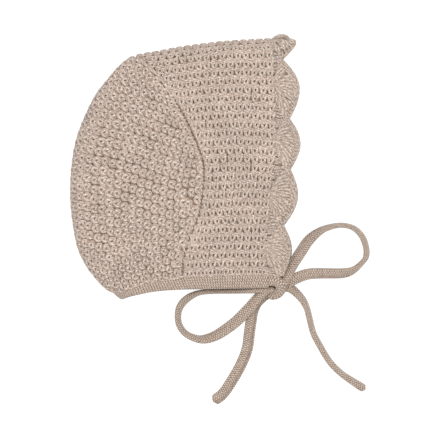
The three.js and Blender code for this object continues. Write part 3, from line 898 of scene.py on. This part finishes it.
def trim_point(share, outward, side, inset):
    """Points of the edging: share of the face edge from the chin, millimetres outward from it."""
    peek = np.where(side < 0, UNDER_PEEK * (1 - share), 0.0)
    outward = outward + peek * outward / SCALLOP_REACH
    point = along(face, share)
    point[:, 0] += SEAM_GAP + outward
    point[:, 1] += CROWN_FLARE * (outward / SCALLOP_REACH) * share ** 10
    puffed = np.sin(np.pi * np.clip(outward / CROWN_PUFF_REACH, 0, 1))
    point[:, 1] += CROWN_PUFF * puffed * share ** 24
    return layer_point(point, side, inset)


from_crown, _ = even_shares(lambda share: along(face, 1 - share))


def edge_at(signed):
    """Shares of the face edge that lie evenly on the cloth, signed by layer: 0 at the crown fold."""
    return 1 - from_crown(np.abs(signed)), np.where(signed < 0, -1.0, 1.0)


def cloth_share_of(share):
    """The even cloth share for a plain share of the face edge, by looking it up."""
    cloth = np.linspace(0, 1, 401)
    plain, _ = edge_at(cloth)
    return np.interp(share, plain[::-1], cloth[::-1])


def make_edging():
    strands = []

    def add(signed, outward, width, lift=0.0):
        share, side = edge_at(signed)
        inset = np.full(len(share), TREBLE_INSET) - lift
        path = trim_point(share, outward, side, inset)
        ups = path - trim_point(share, outward, side, inset + 0.8)
        strands.append((path, ups, width, np.minimum(width, 1.9)))

    bounds = [0.0] + [end for end, _, _ in SCALLOPS]
    fans = []
    for start, end in zip(bounds[:-1], bounds[1:]):
        low = cloth_share_of(start)
        if end > 1:
            fans.append((-low, low))
        else:
            high = cloth_share_of(end)
            fans.append((high, low))
            fans.append((-low, -high))
    chance = np.random.default_rng(7)
    for low, high in fans:
        middle = (low + high) / 2
        # The trebles of a shell share one foot and widen towards the border
        for k in range(TREBLES):
            spread = (k + 0.5) / TREBLES * 2 - 1
            steps = np.linspace(0, 1, 9)
            foot = middle + spread * (high - low) * TREBLE_FEET
            tip = middle + (spread + chance.uniform(-0.05, 0.05)) * (high - low) * TREBLE_TIPS
            signed = foot + (tip - foot) * steps ** 0.85
            share, _ = edge_at(np.array([tip]))
            reach = scallop_width(share)[0] - 3.9 + chance.uniform(-0.6, 0.4)
            swell = np.sin(steps * np.pi)
            fullness = 0.5 * chance.uniform(0.7, 1.2)
            outward = TREBLE_START + (reach - TREBLE_START) * steps
            add(signed, outward, 1.6 + 2.6 * steps ** 0.8, 0.15 + fullness * swell)
        # Single stitches along the face edge, between the feet of two fans
        for end in (0, 1):
            for k in range(SHORT_STITCHES):
                foot = low + (high - low) * abs(end - k * SHORT_STITCH_SPACING)
                share, _ = edge_at(np.array([foot]))
                reach = (scallop_width(share)[0] - 2.4) * (1 - k * 0.09)
                steps = np.linspace(0, 1, 5)
                signed = foot + (high - low) * 0.025 * np.sin(steps * np.pi) * chance.choice([-1, 1])
                add(signed, -1.0 + (reach + 1.0) * steps, 1.9, -0.15 + chance.uniform(0, 0.3))
    # The border: a chain along the rim, over slanting short stitches
    signed = np.linspace(-1, 1, 420)
    share, _ = edge_at(signed)
    width = scallop_width(share)
    add(signed, width - 0.9, 1.8, 0.05)
    for start in np.linspace(-0.995, 0.985, RIM_STITCHES):
        steps = np.linspace(0, 1, 5)
        signed = start + 0.015 * steps
        share, _ = edge_at(signed)
        add(signed, scallop_width(share) - 4.6 + 3.3 * steps, 1.9, 0.1 + 0.25 * np.sin(steps * np.pi))
    # A strand along both ends of the edging, beside the chin
    for end in (0.996, 0.984, 0.972):
        outward = np.linspace(-1.2, CHIN_NOTCH - 0.8, 9)
        add(np.full(9, end), outward, 2.0, 0.1)
        add(np.full(9, -end), outward, 2.0, 0.1)
    item = join_strands("scallop_edging", strands, STRAND_SIDES, edging_yarn)
    stands_for(item, "scallop_trim")


def make_edging_ground():
    """Thin cloth between the trebles, coloured darker in painted shade."""
    columns, rings = 240, 5
    signed = np.linspace(-1, 1, columns)
    share, side = edge_at(signed)
    width = scallop_width(share)
    outer, inner = [], []
    for ring in range(rings):
        outward = 0.5 + (width - 1.9) * ring / (rings - 1)
        outer.append(trim_point(share, outward, side, np.full(columns, 1.7)))
        inner.append(trim_point(share, outward, side, np.full(columns, 2.4)))
    points = np.vstack(outer + inner)
    faces = sheet_faces(rings, columns)
    ground = new_mesh_object("scallop_ground", points, faces, painted_shade_shell_yarn, points[:, :2])
    face_outwards(ground)
    stands_for(ground, "scallop_trim")


# Seam and neck edge
def make_seam_yarn():
    """The yarn that joins the panel and the band, low in the seam, coloured darker in painted shade."""
    strands = []
    share = np.linspace(0.01, 0.99, 90)
    line = along(seam, share)
    for side in (1.0, -1.0):
        path = layer_point(line, side, np.full(len(line), SEAM_YARN_INSET))
        ups = path - layer_point(line, side, np.full(len(line), SEAM_YARN_INSET + 0.8))
        strands.append((path, ups, 1.5, 1.3))
    item = join_strands("joining_seam_yarn", strands, STRAND_SIDES, painted_shade_core_yarn)
    stands_for(item, "front_band")


def make_half_stitches():
    """Half stitches on both sides of the seam, where the rows end aslant."""
    ahead, aside, inset = HALF_STITCH_PATH.T
    half_stitches = []
    to_side = beside(seam, 1.0) - seam
    spacing = HALF_STITCH / np.linalg.norm(np.diff(seam, axis=0), axis=1).sum()
    for layer in (1.0, -1.0):
        for edge in (-1.0, 1.0):
            for start in np.arange(0.012, 0.985, spacing):
                share = start + spacing * ahead
                # Towards the crown they close over the seam
                closed = np.clip((share - 0.70) / 0.12, 0, 1)
                away = aside * (1 - 0.8 * closed) * edge
                nearest = np.clip((share * (len(seam) - 1)).astype(int), 0, len(seam) - 1)
                line = along(seam, share) + to_side[nearest] * away[:, None]
                path = layer_point(line, layer, inset - 0.3 * closed)
                ups = path - layer_point(line, layer, np.full(4, 2.6))
                half_stitches.append((path, ups, 1.7, 1.5))
    item = join_strands("seam_half_stitches", half_stitches, STRAND_SIDES, crochet_yarn)
    stands_for(item, "front_band")


from_neck_tip, _ = even_shares(neck_edge)


def neck_at(signed):
    """Shares of the neck edge that lie evenly on the cloth, signed by layer: 0 at the neck tip."""
    return from_neck_tip(np.abs(signed)), np.where(signed < 0, -1.0, 1.0)


def make_neck_chain():
    """A chain along the neck edge, partly under the binding."""
    share, side = neck_at(np.linspace(-1, 1, 240))
    line = neck_edge(share)
    line = line + unit(line - along(hem, share)) * 0.9
    path = layer_point(line, side, np.full(len(line), 1.3))
    ups = path - layer_point(line, side, np.full(len(line), 2.1))
    item = join_strands("neck_edge_chain", [(path, ups, 1.9, 1.7)], STRAND_SIDES, crochet_yarn)
    stands_for(item, "front_band")


# Neck binding
def make_binding():
    count = 260
    share, side = neck_at(np.linspace(-1, 1, count))
    top, bottom = neck_edge(share), along(hem, share)
    down = unit(bottom - top)
    top = top - down * 0.5
    section = [
        (0.0, 0.75), (0.06, 0.2), (0.2, 0.0), (0.5, -0.1), (0.8, 0.0), (0.95, 0.35), (1.0, 1.2),
        (1.0, 2.4), (0.95, 3.2), (0.8, 3.5), (0.5, 3.6), (0.2, 3.5), (0.06, 3.35), (0.0, 2.85),
    ]
    lengths = np.linspace(0, BINDING_LENGTH, count)
    rings, uvs = [], []
    for across, inset in section:
        rings.append(layer_point(top + (bottom - top) * across, side, np.full(count, inset)))
        uvs.append(np.column_stack([lengths, np.full(count, across * BINDING_WIDTH)]))
    points = np.stack(rings, axis=1).reshape(-1, 3)
    item = new_mesh_object("neck_binding_tape", points, ring_faces(count, len(section)), knitted_tape,
                           np.stack(uvs, axis=1).reshape(-1, 2))
    face_outwards(item)
    stands_for(item, "neck_binding")


# Bow knot
def make_knot():
    wrap = [
        photo_point(261, 280.6, 8.6), photo_point(268, 280.4, 9.3), photo_point(275, 280.6, 9.8),
        photo_point(279.8, 284, 9.5), photo_point(280.6, 288.6, 8.2), photo_point(277.8, 292.6, 6.2),
        photo_point(273.2, 294.4, 4.4), photo_point(269.0, 293.0, 3.2), photo_point(265.5, 290.8, 2.8),
    ]
    under = [
        photo_point(270, 281, 4.0), photo_point(275, 284, 3.6), photo_point(278, 288, 3.4),
        photo_point(278, 292, 3.2),
    ]
    strands = []
    for line, width, thick in ((wrap, 6.6, 4.4), (under, 7.0, 5.6)):
        path = spline(line, 6)
        ups = np.tile((0.15, 0.0, 1.0), (len(path), 1))
        strands.append((path, ups, width, thick))
    item = join_strands("bow_knot_tape", strands, 18, knitted_tape, turn=KNOT_GIRTH)
    stands_for(item, "bow_knot")


tree = stitch_tree()
for fabric, arm, bars, width in ((back_fabric, PANEL_ARM, PANEL_BARS, PANEL_YARN),
                                 (band_fabric, BAND_ARM, BAND_BARS, BAND_YARN)):
    # The ground's outside takes the yarn in painted shade, which shows between the stitches
    ground = fabric.ground(painted_shade_core_yarn, crochet_yarn)
    source = stitch_source(fabric.name + "_one_stitch", arm, bars, width)
    stitches = work_stitches(fabric.name + "_stitches", fabric, source, tree, crochet_yarn)
    bpy.data.objects.remove(source)
    for piece in (ground, stitches):
        stands_for(piece, fabric.name)

make_edging()
make_edging_ground()
make_seam_yarn()
make_half_stitches()
make_neck_chain()
make_binding()
make_knot()


# Floor
def add_floor():
    half = 1.5
    corners = [(-half, -half, 0), (half, -half, 0), (half, half, 0), (-half, half, 0)]
    mesh = bpy.data.meshes.new("floor")
    mesh.from_pydata(corners, [], [(0, 1, 2, 3)])
    floor = new_object("floor", mesh)
    # A white acrylic table, lit from below, which keeps the ground white under soft shadows
    material, floor_tree = new_material("lit_white_acrylic_table")
    shader = add_node(floor_tree, "ShaderNodeBsdfPrincipled", None, {
        "Base Color": linear("#898989"), "Roughness": 0.8,
        "Emission Color": linear("#ffffff"), "Emission Strength": 0.88})
    add_node(floor_tree, "ShaderNodeOutputMaterial", None, {"Surface": shader.outputs[0]})
    mesh.materials.append(material)


add_floor()
